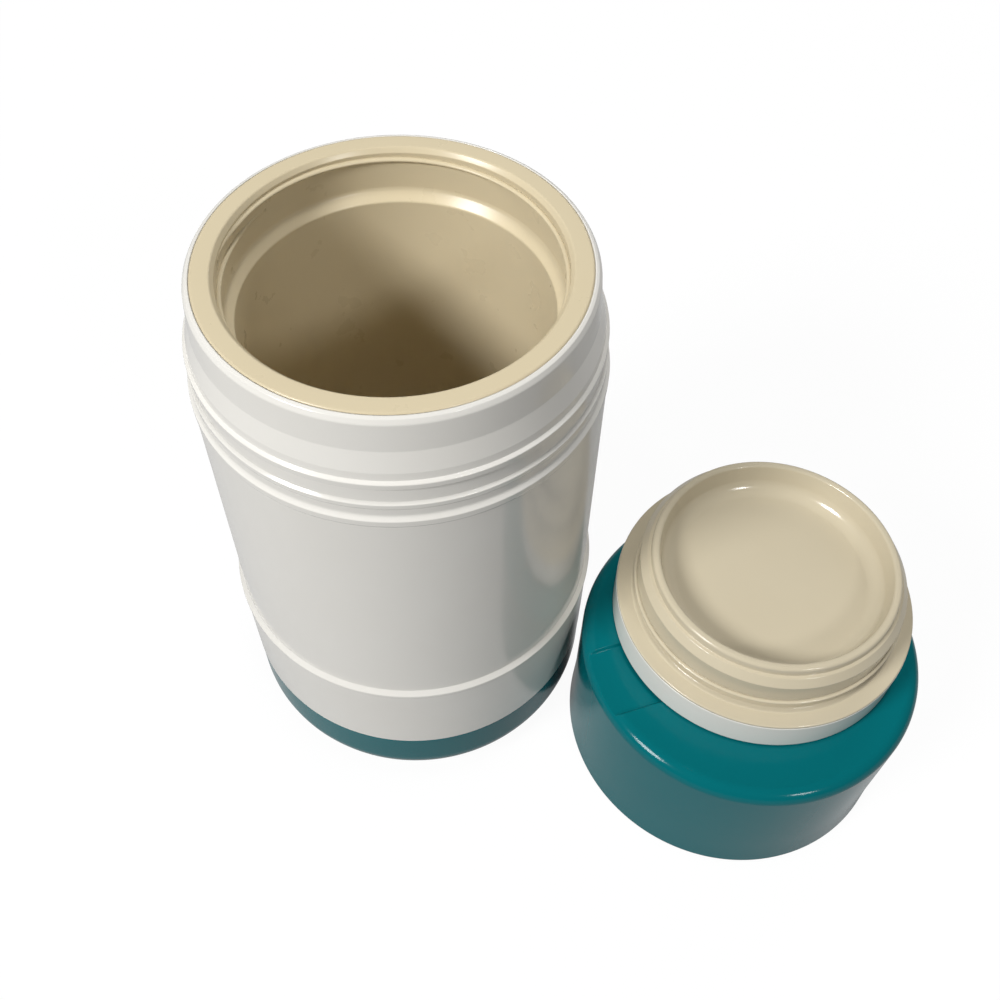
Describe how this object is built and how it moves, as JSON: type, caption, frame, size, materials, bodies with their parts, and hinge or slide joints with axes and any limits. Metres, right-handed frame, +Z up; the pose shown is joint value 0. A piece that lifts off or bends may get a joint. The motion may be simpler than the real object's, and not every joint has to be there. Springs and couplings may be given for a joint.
{
  "type": "insulated food jar",
  "caption": "Insulated food jar shown open, with a screw stopper lying upside down on its drinking cup beside it.",
  "frame": {"origin": "on the jar's axis, on the flat underside it stands on", "axes": "+Z up along the jar's axis; +X towards the axis of the cup that stands beside the jar"},
  "size_m": [0.1888, 0.0964, 0.1517],
  "materials": {
    "outer_shell": "glossy off-white moulded plastic",
    "base_cap": "glossy teal moulded plastic",
    "inner_liner": "glossy beige moulded plastic",
    "jar_foam": "rigid cream insulating foam",
    "cup": "glossy teal moulded plastic",
    "stopper_cover": "glossy off-white moulded plastic",
    "stopper_plug": "glossy beige moulded plastic",
    "stopper_foam": "rigid cream insulating foam"
  },
  "bodies": {
    "jar": {"outer_shell": "outer_shell", "base_cap": "base_cap", "inner_liner": "inner_liner", "jar_foam": "jar_foam"},
    "drinking_cup": {"cup": "cup"},
    "stopper": {"stopper_cover": "stopper_cover", "stopper_plug": "stopper_plug", "stopper_foam": "stopper_foam"}
  },
  "joints": [
    {"name": "cup_lift", "type": "slide", "parent": "jar", "child": "drinking_cup", "axis": [0, 0, 1], "range_m": [0, 0.2]},
    {"name": "stopper_lift", "type": "slide", "parent": "drinking_cup", "child": "stopper", "axis": [0, 0, 1], "range_m": [0, 0.1]}
  ]
}
